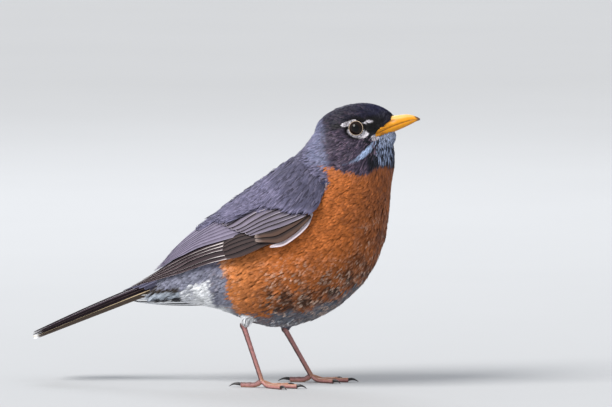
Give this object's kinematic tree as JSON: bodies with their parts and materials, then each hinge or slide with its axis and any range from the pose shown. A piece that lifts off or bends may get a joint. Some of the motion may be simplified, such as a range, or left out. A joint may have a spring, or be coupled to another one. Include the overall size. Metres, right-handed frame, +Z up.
{
  "type": "american robin",
  "caption": "Life-size still model of a male American robin standing alert: slate back, rust breast, black head, yellow bill.",
  "frame": {"origin": "middle of the bounding box's base, on the floor the toes stand on", "axes": "+X towards the bird's front, +Y towards its left, +Z up"},
  "size_m": [0.218, 0.0728, 0.1562],
  "materials": {
    "head_feathers": "soft black plumage",
    "neck_feathers": "soft slate plumage",
    "breast_feathers": "soft rust plumage",
    "rump_feathers": "soft grey and white plumage",
    "thigh_feathers": "soft grey plumage",
    "shoulder_feathers": "soft slate plumage",
    "covert_feathers": "brown-grey feathers with pale edges",
    "flight_feathers": "dark brown-grey vanes with pale edges",
    "bill": "horny yellow, dark at the tip",
    "eyes": "wet dark brown",
    "leg_skin": "scaly pinkish brown",
    "claws": "dark horn"
  },
  "bodies": {
    "root": {"bill_lower": "bill", "bill_upper": "bill", "claw_hallux_left": "claws", "claw_hallux_right": "claws", "claw_inner_left": "claws", "claw_inner_right": "claws", "claw_middle_left": "claws", "claw_middle_right": "claws", "claw_outer_left": "claws", "claw_outer_right": "claws", "eye_left": "eyes", "eye_right": "eyes", "head": "head_feathers", "neck": "neck_feathers", "rump": "rump_feathers", "tail": "flight_feathers", "tarsus_left": "leg_skin", "tarsus_right": "leg_skin", "thigh_left": "thigh_feathers", "thigh_right": "thigh_feathers", "toe_hallux_left": "leg_skin", "toe_hallux_right": "leg_skin", "toe_inner_left": "leg_skin", "toe_inner_right": "leg_skin", "toe_middle_left": "leg_skin", "toe_middle_right": "leg_skin", "toe_outer_left": "leg_skin", "toe_outer_right": "leg_skin", "trunk": "breast_feathers", "wing_alula_left": "flight_feathers", "wing_alula_right": "flight_feathers", "wing_greater_coverts_left": "covert_feathers", "wing_greater_coverts_right": "covert_feathers", "wing_primaries_left": "flight_feathers", "wing_primaries_right": "flight_feathers", "wing_primary_coverts_left": "flight_feathers", "wing_primary_coverts_right": "flight_feathers", "wing_secondaries_left": "flight_feathers", "wing_secondaries_right": "flight_feathers", "wing_shoulder_left": "shoulder_feathers", "wing_shoulder_right": "shoulder_feathers"}
  },
  "joints": []
}
